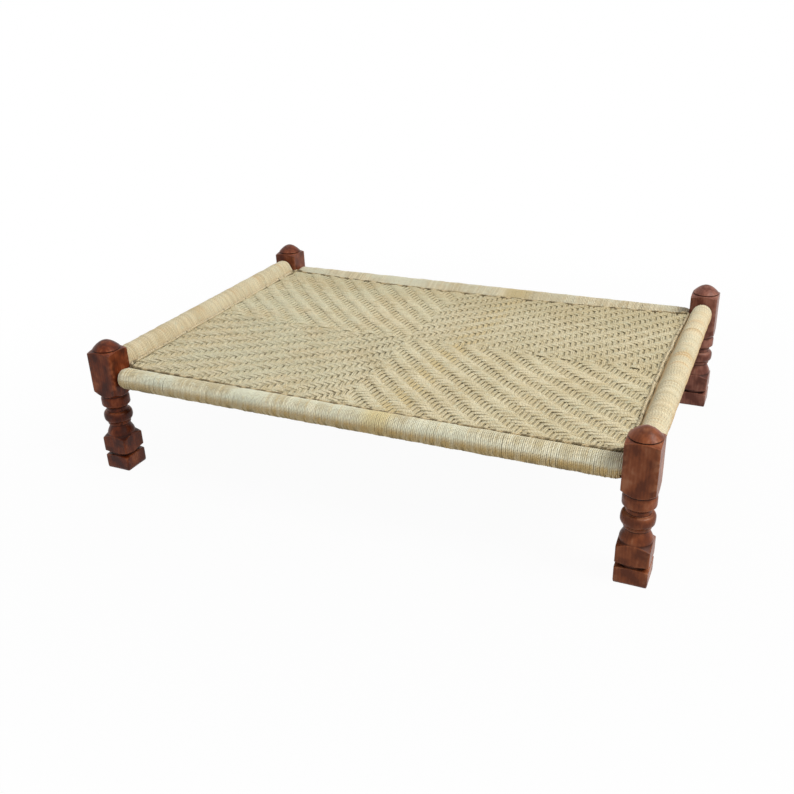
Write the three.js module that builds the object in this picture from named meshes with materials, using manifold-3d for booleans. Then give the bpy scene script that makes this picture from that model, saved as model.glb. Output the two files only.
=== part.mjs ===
// A charpai: a low bed frame of four turned wooden legs and four round rails, woven over with grass cord.
// Millimetres, +Z up. The origin is on the floor under the middle of the bed. +X is the long way, +Y the back.

import * as THREE from 'three';
import { mergeVertices } from 'three/addons/utils/BufferGeometryUtils.js';
import Module from 'manifold-3d';

const wasm = await Module();
wasm.setup();

// Plan of the frame
const legSpanLong = 1738; // between leg axes, along X
const legSpanShort = 1178; // between leg axes, along Y
const legSide = 92; // square stock of a leg

// Heights of the zones of a leg, stacked from the floor
const footHeight = 45;
const notchHeight = 21;
const lowBlockHeight = 38; // to the corners of its shoulders
const lowShoulderHeight = 22;
const vaseHeight = 34;
const filletHeight = 13;
const beadHeight = 36;
const neckHeight = 13;
const flareHeight = 14;
const collarHeight = 19;
const coveHeight = 13;
const highShoulderHeight = 25;
const blockHeight = 126; // mortise block, between the corners of its shoulders
const crownShoulderHeight = 11;
const domeHeight = 30;

// Turned radii of a leg
const notchRadius = 41;
const vaseRadius = 45.5;
const lowNeckRadius = 34;
const filletRadius = 37.5;
const beadRadius = 47.5;
const neckRadius = 35;
const collarRadius = 46.5;
const coveRadius = 43;
const crownGrooveRadius = 41.5;
const domeRadius = 43.5;
const beadFullness = 0.75; // 1 is half an ellipse, and less is fuller
const turnedSides = 16;

// Rails and their joints
const poleRadius = 24;
const poleEndRadius = 19; // where it meets a leg
const poleTaper = 60; // length over which an end thins down
const poleSides = 16;
const tenonSide = 26;
const tenonLength = 70; // of a leg's 92, so the mortises are blind
const tenonWall = 14; // wood left between the two tenons in a leg
const longRailRise = 38; // axis of a long rail above the foot of the mortise block
const fitGap = 0.3; // clearance of pieces that touch

// Cord wraps round the rails
const wrapRadius = 36;
const wrapEndRadius = 24;
const wrapTaper = 28; // length over which an end rounds down
const wrapEndGap = 1.5; // to the leg's face
const bandPitch = 40; // width of one band of cord turns
const bandDepth = 1.6; // of the hollow between bands
const wrapSides = 12;

// Web
const webThickness = 10;
const webRiseAtLong = 15; // top of the web above the axis of a long rail
const webDropAtShort = 9; // top of the web below the axis of a short rail
const webCellsLong = 6;
const webCellsShort = 4;

// Chevron ribs of the weave
const ribPitchLong = 96;
const ribPitchShort = 88;
const ribHeight = 3;
const ribRoot = 2; // sunk below the top of the web
const ribWidthShare = 0.42; // of the pitch
const ribCrestShare = 0.2;
const ribStations = 4;
const patternShiftLong = -40; // middle of the pattern from the middle of the bed
const patternShiftShort = -45;

// Border cord
const borderRadius = 4;
const borderInsetLong = 38; // inside the axes of the long rails
const borderInsetShort = 45; // inside the axes of the short rails
const borderBend = 40; // radius of its corners
const borderSides = 8;
const borderBendSteps = 4;
const borderRunSteps = 8;
const borderSeat = 0.5; // least clearance between its underside and the web

// What one cutting body runs past another
const overrun = 5;

// Worked-out places
const halfLong = legSpanLong / 2;
const halfShort = legSpanShort / 2;
const blockBottom = footHeight + notchHeight + lowBlockHeight + lowShoulderHeight + vaseHeight + filletHeight
  + beadHeight + neckHeight + flareHeight + collarHeight + coveHeight + highShoulderHeight;
const longRailZ = blockBottom + longRailRise;
const shortRailZ = longRailZ + tenonSide + tenonWall;
const webTopAtLong = longRailZ + webRiseAtLong;
const webTopAtShort = shortRailZ - webDropAtShort;

const rosewood = new THREE.MeshStandardMaterial({ color: 0x7c3d28, roughness: 0.5, metalness: 0 });
const poleWood = new THREE.MeshStandardMaterial({ color: 0xa9855a, roughness: 0.7, metalness: 0 });
const grassCord = new THREE.MeshStandardMaterial({ color: 0xd2bf8c, roughness: 0.85, metalness: 0 });
const bindingCord = new THREE.MeshStandardMaterial({ color: 0x8c7440, roughness: 0.9, metalness: 0 });

// A closed three.js geometry as a solid that can be joined and cut.
function solidOf(geometry) {
  const bare = geometry.clone();
  bare.deleteAttribute('normal');
  bare.deleteAttribute('uv');
  const merged = mergeVertices(bare);
  return new wasm.Manifold(new wasm.Mesh({
    numProp: 3,
    vertProperties: new Float32Array(merged.attributes.position.array),
    triVerts: new Uint32Array(merged.index.array),
  }));
}

// A solid as a named mesh.
function meshOf(name, solid, material) {
  const { vertProperties, triVerts } = solid.getMesh();
  const geometry = new THREE.BufferGeometry();
  geometry.setAttribute('position', new THREE.BufferAttribute(new Float32Array(vertProperties), 3));
  geometry.setIndex(new THREE.BufferAttribute(new Uint32Array(triVerts), 1));
  geometry.computeVertexNormals();
  const mesh = new THREE.Mesh(geometry, material);
  mesh.name = name;
  return mesh;
}

// A body from its points and triangles.
function bodyOf(points, triangles) {
  const geometry = new THREE.BufferGeometry();
  geometry.setAttribute('position', new THREE.Float32BufferAttribute(points.flat(), 3));
  geometry.setIndex(triangles.flat());
  return solidOf(geometry);
}

// A box of the given size about a middle point.
function boxAt(sizeX, sizeY, sizeZ, x, y, z) {
  return solidOf(new THREE.BoxGeometry(sizeX, sizeY, sizeZ).translate(x, y, z));
}

// A round bar along X through a point, or along Y when it is turned.
function barAt(radius, length, sides, y, z) {
  return solidOf(new THREE.CylinderGeometry(radius, radius, length, sides).rotateZ(Math.PI / 2).translate(0, y, z));
}

// The turned outline of a leg, from the floor up. Square zones are drawn wider than the stock and cut to it later,
// which leaves arched shoulders on the four faces.
function legOutline() {
  const squareReach = legSide / Math.SQRT2 + overrun;
  const outline = [new THREE.Vector2(0, 0), new THREE.Vector2(squareReach, 0)];
  let z = 0;
  const rise = (height, radius) => {
    z += height;
    outline.push(new THREE.Vector2(radius, z));
  };
  // From the last radius to another along half a cosine wave, upright at both ends.
  const sweep = (height, radius, steps) => {
    const from = outline.at(-1).x;
    for (let i = 1; i <= steps; i += 1) {
      rise(height / steps, from + (radius - from) * (1 - Math.cos(Math.PI * i / steps)) / 2);
    }
  };
  rise(footHeight, squareReach);
  rise(notchHeight / 3, notchRadius);
  rise(notchHeight / 3, notchRadius);
  rise(notchHeight / 3, squareReach);
  rise(lowBlockHeight, squareReach);
  rise(lowShoulderHeight, vaseRadius);
  sweep(vaseHeight, lowNeckRadius, 4);
  rise(filletHeight / 3, filletRadius);
  rise(filletHeight / 2, filletRadius);
  rise(filletHeight / 6, lowNeckRadius);
  // Bead: half an ellipse, made a little fuller, that stands out from the neck.
  const beadFoot = z;
  const beadSteps = 6;
  for (let i = 1; i <= beadSteps; i += 1) {
    const turn = Math.PI * i / beadSteps;
    z = beadFoot + beadHeight * (1 - Math.cos(turn)) / 2;
    outline.push(new THREE.Vector2(neckRadius + (beadRadius - neckRadius) * Math.sin(turn) ** beadFullness, z));
  }
  rise(neckHeight, neckRadius);
  sweep(flareHeight, collarRadius, 3);
  rise(collarHeight, collarRadius);
  rise(coveHeight, coveRadius);
  rise(highShoulderHeight, squareReach);
  rise(blockHeight, squareReach);
  rise(crownShoulderHeight, crownGrooveRadius);
  // Dome: a quarter ellipse on a small step.
  const domeFoot = z;
  const domeSteps = 4;
  outline.push(new THREE.Vector2(domeRadius, domeFoot + domeHeight / 12));
  for (let i = 1; i <= domeSteps; i += 1) {
    const turn = Math.PI / 2 * i / domeSteps;
    const share = 1 / 12 + 11 / 12 * Math.sin(turn);
    outline.push(new THREE.Vector2(i < domeSteps ? domeRadius * Math.cos(turn) : 0, domeFoot + domeHeight * share));
  }
  return outline;
}

// One leg on its own axis. towardX and towardY point to the inside of the bed.
function makeLeg(name, towardX, towardY) {
  const outline = legOutline();
  const height = outline.at(-1).y;
  const turned = solidOf(new THREE.LatheGeometry(outline, turnedSides).rotateX(Math.PI / 2));
  const stock = boxAt(legSide, legSide, height + 2 * overrun, 0, 0, height / 2);
  const mortise = tenonSide + 2 * fitGap;
  const depth = tenonLength + fitGap;
  const middle = legSide / 2 - (depth - overrun) / 2;
  const longMortise = boxAt(depth + overrun, mortise, mortise, towardX * middle, 0, longRailZ);
  const shortMortise = boxAt(mortise, depth + overrun, mortise, 0, towardY * middle, shortRailZ);
  const leg = meshOf(name, turned.intersect(stock).subtract(longMortise).subtract(shortMortise), rosewood);
  leg.position.set(-towardX * halfLong, -towardY * halfShort, 0);
  return leg;
}

// The round pole of a rail along X, thinner at its ends, and larger all round by grow.
function makePole(length, grow) {
  const end = length / 2;
  const outline = [[0, -end], [poleEndRadius, -end], [poleRadius, poleTaper - end], [poleRadius, end - poleTaper],
    [poleEndRadius, end], [0, end]].map(([radius, x]) => new THREE.Vector2(radius && radius + grow, x));
  return solidOf(new THREE.LatheGeometry(outline, poleSides).rotateZ(-Math.PI / 2));
}

// One rail along X about its middle: a round pole with a square tenon at each end.
function makeRail(name, legSpan) {
  const clearSpan = legSpan - legSide;
  const pole = makePole(clearSpan - 2 * fitGap, 0);
  const tenons = boxAt(clearSpan + 2 * tenonLength, tenonSide, tenonSide, 0, 0, 0);
  return meshOf(name, pole.add(tenons), poleWood);
}

// The outer radius of a wrap at a distance from its middle: full, and rounded down close to the legs.
function wrapRadiusAt(distance, halfLength) {
  const share = THREE.MathUtils.clamp((distance - halfLength + wrapTaper) / wrapTaper, 0, 1);
  return wrapEndRadius + (wrapRadius - wrapEndRadius) * Math.sqrt(1 - share ** 2);
}

// The wrap of one rail along X about its middle: cord wound in bands that climb along the rail as one long screw.
// Rows of points follow the screw, two to a band, by turns on its crest and in its hollow.
function makeWrap(name, legSpan) {
  const length = legSpan - legSide - 2 * wrapEndGap;
  const bands = Math.round(length / bandPitch);
  const pitch = length / bands;
  const rows = 2 * (bands + 3);
  const start = -length / 2 - 2 * pitch;
  const points = [];
  const triangles = [];
  for (let row = 0; row <= rows + 2; row += 1) {
    for (let side = 0; side < wrapSides; side += 1) {
      const x = start + pitch * (row / 2 + side / wrapSides);
      const turn = 2 * Math.PI * side / wrapSides;
      const radius = wrapRadiusAt(Math.abs(x), length / 2) - (row % 2) * bandDepth;
      points.push([x, radius * Math.cos(turn), radius * Math.sin(turn)]);
    }
  }
  const at = (row, side) => (side < wrapSides ? row * wrapSides + side : (row + 2) * wrapSides);
  for (let row = 0; row < rows; row += 1) {
    for (let side = 0; side < wrapSides; side += 1) {
      const [a, b, c, d] = [at(row, side), at(row, side + 1), at(row + 1, side + 1), at(row + 1, side)];
      triangles.push([a, b, c], [a, c, d]);
    }
  }
  // Each end closes to a point on the axis, outside the length that is kept.
  const close = (row, centre, flip) => {
    const rim = [...Array(wrapSides + 1).keys()].map((side) => at(row, side)).concat(at(row + 1, 0));
    rim.forEach((from, i) => {
      const to = rim[(i + 1) % rim.length];
      triangles.push(flip ? [centre, to, from] : [centre, from, to]);
    });
  };
  points.push([start - pitch, 0, 0], [start + pitch * (rows / 2 + 2), 0, 0]);
  close(0, points.length - 2, true);
  close(rows, points.length - 1, false);
  const wound = bodyOf(points, triangles);
  const reach = 2 * wrapRadius + overrun;
  const bore = makePole(legSpan - legSide, fitGap);
  return meshOf(name, wound.intersect(boxAt(length, reach, reach, 0, 0, 0)).subtract(bore), grassCord);
}

// The height of the top of the web: a shallow saddle, high at the short rails and low at the long ones.
function webTop(x, y) {
  const middle = (webTopAtLong + webTopAtShort) / 2;
  const alongShare = (x / halfLong) ** 2;
  const acrossShare = (y / halfShort) ** 2;
  return middle + (webTopAtShort - middle) * alongShare + (webTopAtLong - middle) * acrossShare;
}

// The web before its ribs: a slab whose top and bottom are grids of points on the saddle.
function makeSlab() {
  const points = [];
  const triangles = [];
  const columns = webCellsLong + 1;
  for (const drop of [webThickness, 0]) {
    for (let j = 0; j <= webCellsShort; j += 1) {
      for (let i = 0; i <= webCellsLong; i += 1) {
        const x = halfLong * (2 * i / webCellsLong - 1);
        const y = halfShort * (2 * j / webCellsShort - 1);
        points.push([x, y, webTop(x, y) - drop]);
      }
    }
  }
  const layer = points.length / 2;
  const at = (i, j) => j * columns + i;
  for (let j = 0; j < webCellsShort; j += 1) {
    for (let i = 0; i < webCellsLong; i += 1) {
      const [a, b, c, d] = [at(i, j), at(i + 1, j), at(i + 1, j + 1), at(i, j + 1)];
      triangles.push([a, c, b], [a, d, c]);
      triangles.push([a + layer, b + layer, c + layer], [a + layer, c + layer, d + layer]);
    }
  }
  const wall = (a, b) => triangles.push([a, b, b + layer], [a, b + layer, a + layer]);
  for (let i = 0; i < webCellsLong; i += 1) {
    wall(at(i, 0), at(i + 1, 0));
    wall(at(i + 1, webCellsShort), at(i, webCellsShort));
  }
  for (let j = 0; j < webCellsShort; j += 1) {
    wall(at(webCellsLong, j), at(webCellsLong, j + 1));
    wall(at(0, j + 1), at(0, j));
  }
  return bodyOf(points, triangles);
}

// One chevron rib. Its two edges lie on |x| / pitch - |y| / pitch = order, and a little more, from the middle of the
// pattern. side is 1 or -1, and a rib that opens along Y swaps the two directions.
function makeRib(order, side, alongY) {
  const outPitch = alongY ? ribPitchShort : ribPitchLong;
  const acrossPitch = alongY ? ribPitchLong : ribPitchShort;
  const reach = alongY ? halfLong - patternShiftLong : halfShort - patternShiftShort;
  const place = (out, across, lift) => {
    const x = patternShiftLong + (alongY ? across : side * out);
    const y = patternShiftShort + (alongY ? side * out : across);
    return [x, y, webTop(x, y) + lift];
  };
  const points = [];
  for (let i = 0; i <= ribStations; i += 1) {
    const across = reach * (2 * i / ribStations - 1);
    const out = outPitch * (order + Math.abs(across) / acrossPitch);
    const foot = outPitch * ribWidthShare / 2;
    const crest = outPitch * ribCrestShare / 2;
    points.push(place(out - foot, across, -ribRoot), place(out + foot, across, -ribRoot));
    points.push(place(out + crest, across, ribHeight), place(out - crest, across, ribHeight));
  }
  const triangles = [[0, 1, 2], [0, 2, 3]];
  for (let i = 0; i < ribStations; i += 1) {
    for (let k = 0; k < 4; k += 1) {
      const [a, b] = [4 * i + k, 4 * i + (k + 1) % 4];
      triangles.push([a, a + 4, b + 4], [a, b + 4, b]);
    }
  }
  const last = 4 * ribStations;
  triangles.push([last, last + 2, last + 1], [last, last + 3, last + 2]);
  const turned = alongY ? side > 0 : side < 0;
  return bodyOf(points, turned ? triangles.map(([a, b, c]) => [a, c, b]) : triangles);
}

// The patch of the web that the border cord encloses, as a tall block with rounded corners.
function makeField(inLong, inShort) {
  const bend = borderBend - borderRadius - borderSeat;
  const plan = new THREE.Shape();
  plan.absarc(inLong - bend, inShort - bend, bend, 0, Math.PI / 2);
  plan.absarc(bend - inLong, inShort - bend, bend, Math.PI / 2, Math.PI);
  plan.absarc(bend - inLong, bend - inShort, bend, Math.PI, Math.PI * 1.5);
  plan.absarc(inLong - bend, bend - inShort, bend, Math.PI * 1.5, Math.PI * 2);
  const options = { depth: 2 * shortRailZ, bevelEnabled: false, curveSegments: borderBendSteps };
  return solidOf(new THREE.ExtrudeGeometry(plan, options));
}

// The web: slab and ribs, seated between the four wraps and round the corners of the legs.
function makeWeb() {
  const inLong = halfLong - borderInsetShort - borderRadius - borderSeat;
  const inShort = halfShort - borderInsetLong - borderRadius - borderSeat;
  const tall = shortRailZ;
  const field = makeField(inLong, inShort);
  let ribs = makeRib(0, 1, false).add(makeRib(0, -1, false));
  for (const side of [1, -1]) {
    const roomLong = inLong - side * patternShiftLong;
    for (let order = 1; order * ribPitchLong < roomLong; order += 1) {
      ribs = ribs.add(makeRib(order, side, false));
    }
    const roomShort = inShort - side * patternShiftShort;
    for (let order = 1; order * ribPitchShort < roomShort; order += 1) {
      ribs = ribs.add(makeRib(order, side, true));
    }
  }
  let web = makeSlab().add(ribs.intersect(field));
  const seatRadius = wrapRadius + fitGap;
  const legCut = legSide + 2 * fitGap;
  for (const side of [1, -1]) {
    web = web.subtract(barAt(seatRadius, legSpanLong, wrapSides * 2, side * halfShort, longRailZ));
    const shortSeat = new THREE.CylinderGeometry(seatRadius, seatRadius, legSpanShort, wrapSides * 2);
    web = web.subtract(solidOf(shortSeat.translate(side * halfLong, 0, shortRailZ)));
    for (const end of [1, -1]) {
      web = web.subtract(boxAt(legCut, legCut, 2 * tall, end * halfLong, side * halfShort, tall));
    }
  }
  return meshOf('woven_web', web, grassCord);
}

// The border cord: one closed ring of cord with rounded corners, lying on the web just inside the wraps.
function makeBorder() {
  const reachX = halfLong - borderInsetShort;
  const reachY = halfShort - borderInsetLong;
  const bend = borderBend;
  const route = [];
  const corners = [[1, 1], [-1, 1], [-1, -1], [1, -1]];
  corners.forEach(([signX, signY], quarter) => {
    const centre = [signX * (reachX - bend), signY * (reachY - bend)];
    for (let i = 0; i <= borderBendSteps; i += 1) {
      const turn = Math.PI / 2 * (quarter + i / borderBendSteps);
      route.push([centre[0] + bend * Math.cos(turn), centre[1] + bend * Math.sin(turn), turn]);
    }
    const run = (quarter % 2 ? reachY : reachX) - bend;
    const turn = Math.PI / 2 * (quarter + 1);
    const [fromX, fromY] = route.at(-1);
    for (let i = 1; i < borderRunSteps; i += 1) {
      const way = 2 * run * i / borderRunSteps;
      route.push([fromX - way * Math.sin(turn), fromY + way * Math.cos(turn), turn]);
    }
  });
  const points = [];
  const triangles = [];
  route.forEach(([x, y, turn], i) => {
    const z = webTop(x, y) + borderRadius + borderSeat;
    for (let side = 0; side < borderSides; side += 1) {
      const roll = 2 * Math.PI * side / borderSides;
      const out = borderRadius * Math.cos(roll);
      points.push([x + out * Math.cos(turn), y + out * Math.sin(turn), z + borderRadius * Math.sin(roll)]);
      const [a, b] = [i * borderSides + side, i * borderSides + (side + 1) % borderSides];
      const next = (n) => (n + borderSides) % (route.length * borderSides);
      triangles.push([a, next(b), b], [a, next(a), next(b)]);
    }
  });
  return meshOf('border_cord', bodyOf(points, triangles), bindingCord);
}

const charpai = new THREE.Group();
charpai.name = 'charpai';
for (const [place, towardY] of [['front', 1], ['back', -1]]) {
  charpai.add(makeLeg(`leg_${place}_left`, 1, towardY));
  charpai.add(makeLeg(`leg_${place}_right`, -1, towardY));
  for (const piece of [makeRail(`rail_${place}`, legSpanLong), makeWrap(`wrap_${place}`, legSpanLong)]) {
    piece.position.set(0, -towardY * halfShort, longRailZ);
    charpai.add(piece);
  }
}
for (const [place, side] of [['left', -1], ['right', 1]]) {
  for (const piece of [makeRail(`rail_${place}`, legSpanShort), makeWrap(`wrap_${place}`, legSpanShort)]) {
    piece.rotation.z = Math.PI / 2;
    piece.position.set(side * halfLong, 0, shortRailZ);
    charpai.add(piece);
  }
}
charpai.add(makeWeb(), makeBorder());

export default charpai;
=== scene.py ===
"""A charpai: a low bed of four turned wooden legs and four round rails, woven over with twisted grass cord.

Lengths are in metres. The nodes of model.glb give each piece its place; the classes below give it its shape and its
finish.
"""

import logging
import math
from dataclasses import astuple, dataclass, field
from enum import Enum, IntEnum

import bpy
import numpy as np
from mathutils import Matrix, Vector


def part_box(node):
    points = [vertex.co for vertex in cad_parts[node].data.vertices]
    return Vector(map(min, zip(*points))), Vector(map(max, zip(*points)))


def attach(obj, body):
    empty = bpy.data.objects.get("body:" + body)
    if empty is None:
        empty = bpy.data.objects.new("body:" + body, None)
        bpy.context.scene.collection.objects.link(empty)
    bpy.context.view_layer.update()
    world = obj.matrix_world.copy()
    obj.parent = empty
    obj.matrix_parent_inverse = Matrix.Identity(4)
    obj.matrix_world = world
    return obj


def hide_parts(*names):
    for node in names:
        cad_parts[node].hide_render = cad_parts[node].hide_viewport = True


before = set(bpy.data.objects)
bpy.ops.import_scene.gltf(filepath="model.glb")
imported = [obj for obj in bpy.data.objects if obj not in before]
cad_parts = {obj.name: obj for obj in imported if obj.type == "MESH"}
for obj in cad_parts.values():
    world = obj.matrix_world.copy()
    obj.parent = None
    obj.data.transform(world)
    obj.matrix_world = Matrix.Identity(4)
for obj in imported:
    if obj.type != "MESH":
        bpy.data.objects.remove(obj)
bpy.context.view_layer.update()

LOG = logging.getLogger("charpai")

Colour = tuple[float, float, float]
Triple = tuple[float, float, float]
Array = np.ndarray
Random = np.random.Generator
Piece = bpy.types.Object
Material = bpy.types.Material
Tree = bpy.types.NodeTree
Node = bpy.types.Node
Socket = bpy.types.NodeSocket
Inputs = bpy.types.bpy_prop_collection

# The dark, middle and light colours of each leg's wood
WOODS: dict[str, tuple[Colour, Colour, Colour]] = {
    "leg_front_left": ((0.060, 0.010, 0.003), (0.162, 0.031, 0.008), (0.360, 0.106, 0.041)),
    "leg_front_right": ((0.125, 0.030, 0.010), (0.250, 0.067, 0.022), (0.400, 0.160, 0.078)),
    "leg_back_left": ((0.090, 0.020, 0.008), (0.185, 0.046, 0.018), (0.310, 0.110, 0.055)),
    "leg_back_right": ((0.130, 0.040, 0.026), (0.270, 0.104, 0.071), (0.400, 0.195, 0.140)),
}


class Way(Enum):
    """The direction that a rail or a set of cords runs in."""

    ALONG = 0
    ACROSS = 1

    @property
    def other(self) -> "Way":
        """The direction square to this one."""
        return Way(1 - self.value)

    def plan(self, on: Array, off: Array) -> tuple[Array, Array]:
        """Places along the bed and across it, from those along this direction and square to it."""
        return (on, off) if self is Way.ALONG else (off, on)


class Side(IntEnum):
    """A side of the bed."""

    FRONT = 0
    BACK = 1
    LEFT = 2
    RIGHT = 3

    @property
    def way(self) -> Way:
        """The direction in which it runs."""
        return Way.ALONG if self in (Side.FRONT, Side.BACK) else Way.ACROSS

    @property
    def sign(self) -> int:
        """-1 for the front and the left, 1 for the back and the right."""
        return 1 if self in (Side.BACK, Side.RIGHT) else -1


def middle_and_half(node: str) -> tuple[Array, Array]:
    """The middle of a CAD node's box and half of its size."""
    low, high = (np.array(corner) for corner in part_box(node))
    return (low + high) / 2, (high - low) / 2


def add_object(name: str, data: bpy.types.ID) -> Piece:
    """Puts an object into the scene.

    Args:
        name: its name.
        data: its mesh, lamp or camera.

    Returns:
        The object.
    """
    made = bpy.data.objects.new(name, data)
    bpy.context.scene.collection.objects.link(made)
    return made


# Meshes from whole arrays


@dataclass
class Shape:
    """Points and polygons of one piece, kept as whole arrays.

    Args:
        points: n by 3 places.
        polygons: arrays of m by k point numbers, one array for each count of corners.
        uv: for each array of polygons, m by k by 2 surface coordinates, or nothing.
        values: a name and n numbers for each attribute that a finish reads.
    """

    points: Array
    polygons: list[Array]
    uv: list[Array] | None
    values: dict[str, Array]

    def make(self, name: str, node: str, slot: str, material: Material) -> Piece:
        """Makes a smooth piece from the arrays, which takes a CAD node's place on the bed's one body.

        Args:
            name: the piece's name.
            node: the CAD node that it replaces.
            slot: not used.
            material: its finish.

        Returns:
            The new object.
        """
        mesh = bpy.data.meshes.new(name)
        corners = np.concatenate([p.ravel() for p in self.polygons])
        counts = np.concatenate([np.full(len(p), p.shape[1]) for p in self.polygons])
        mesh.vertices.add(len(self.points))
        mesh.vertices.foreach_set("co", self.points.astype(np.float32).ravel())
        mesh.loops.add(len(corners))
        mesh.loops.foreach_set("vertex_index", corners.astype(np.int32))
        mesh.polygons.add(len(counts))
        mesh.polygons.foreach_set("loop_start", (np.cumsum(counts) - counts).astype(np.int32))
        mesh.polygons.foreach_set("use_smooth", np.ones(len(counts), dtype=bool))
        if self.uv is not None:
            layer = mesh.uv_layers.new(name="Surface")
            layer.data.foreach_set("uv", np.concatenate([u.ravel() for u in self.uv]).astype(np.float32))
        for label, numbers in self.values.items():
            layer = mesh.attributes.new(label, "FLOAT", "POINT")
            layer.data.foreach_set("value", numbers.astype(np.float32).ravel())
        mesh.update(calc_edges=True)
        mesh.materials.append(material)
        piece = add_object(name, mesh)
        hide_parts(node)
        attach(piece, "root")
        return piece


def unit(vectors: Array) -> Array:
    """The same directions with a length of 1."""
    return vectors / np.linalg.norm(vectors, axis=-1, keepdims=True)


def ring_quads(rows: int, columns: int) -> Array:
    """Quads between rows of points, where each row closes on itself.

    Args:
        rows: how many rows of points.
        columns: how many points each row has.

    Returns:
        An m by 4 array of point numbers, which face outwards where rows rise and columns turn left.
    """
    row, column = np.meshgrid(np.arange(rows - 1), np.arange(columns), indexing="ij")
    after = (column + 1) % columns
    quads = [row * columns + column, row * columns + after, (row + 1) * columns + after, (row + 1) * columns + column]
    return np.stack(quads, axis=-1).reshape(-1, 4)


def tubes(paths: Array, out: Array, aside: Array, thick: Array | float, wide: Array | float, sides: int,
          looks: dict[str, Array | float]) -> Shape:
    """Cords along many paths at once: each point of a path becomes a ring of points in the plane of two directions,
    the path's point plus thick times cosine of the turn times out, plus wide times sine of the turn times aside.

    Args:
        paths: tubes by points by 3.
        out: unit directions of the same form, away from what the cord lies on.
        aside: unit directions of the same form, square to out and to the path.
        thick: half of the cord's thickness, one number or tubes by points.
        wide: half of its width, in the same form.
        sides: corners of a ring. The seam lies on the side away from out.
        looks: what the finish reads, by name, in the same form.

    Returns:
        A shape with capped ends, whose surface coordinates are metres along the cord and turns round it.
    """
    count, steps = paths.shape[:2]
    thick, wide = (np.broadcast_to(half, (count, steps))[..., None] for half in (thick, wide))
    turn = 2 * np.pi * np.arange(sides) / sides + np.pi
    high = (thick * np.cos(turn))[..., None] * out[:, :, None]
    points = paths[:, :, None] + high + (wide * np.sin(turn))[..., None] * aside[:, :, None]
    start = np.arange(count)[:, None] * steps * sides
    quads = ring_quads(steps, sides)[None] + start[..., None]
    caps = np.concatenate([start + np.arange(sides)[::-1], start + (steps - 1) * sides + np.arange(sides)])
    stretch = np.linalg.norm(np.diff(paths, axis=1), axis=2)
    along = np.concatenate([np.zeros((count, 1)), np.cumsum(stretch, axis=1)], axis=1)
    row, side = (place.ravel() for place in np.meshgrid(np.arange(steps - 1), np.arange(sides), indexing="ij"))
    near, far = along[:, row], along[:, row + 1]
    left, right = (np.broadcast_to(place / sides, near.shape) for place in (side, side + 1))
    uv = np.stack([near, left, near, right, far, right, far, left], axis=-1)
    looks = {label: np.broadcast_to(numbers, (count, steps)).ravel() for label, numbers in looks.items()}
    return Shape(
        points.reshape(-1, 3),
        [quads.reshape(-1, 4), caps],
        [uv.reshape(-1, 4, 2), np.zeros((len(caps), sides, 2))],
        {label: np.repeat(numbers, sides) for label, numbers in looks.items()},
    )


def wander(places: Array, rng: Random, span: float, waves: int = 6) -> Array:
    """A slow random line: the sum of a few sine waves with random lengths near span and random starts, about 1 high.

    Args:
        places: where the line is read, in the units of span.
        rng: the source of its random numbers.
        span: the usual length of its waves.
        waves: how many waves are summed.

    Returns:
        An array of the form of places.
    """
    lengths = span * rng.uniform(0.5, 2.0, waves)
    starts = rng.uniform(0, 2 * np.pi, waves)
    heights = rng.uniform(0.4, 1.0, waves)
    lines = heights * np.sin(2 * np.pi * places[..., None] / lengths + starts)
    return lines.sum(axis=-1) / heights.sum() * 1.6


# Node trees


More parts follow.
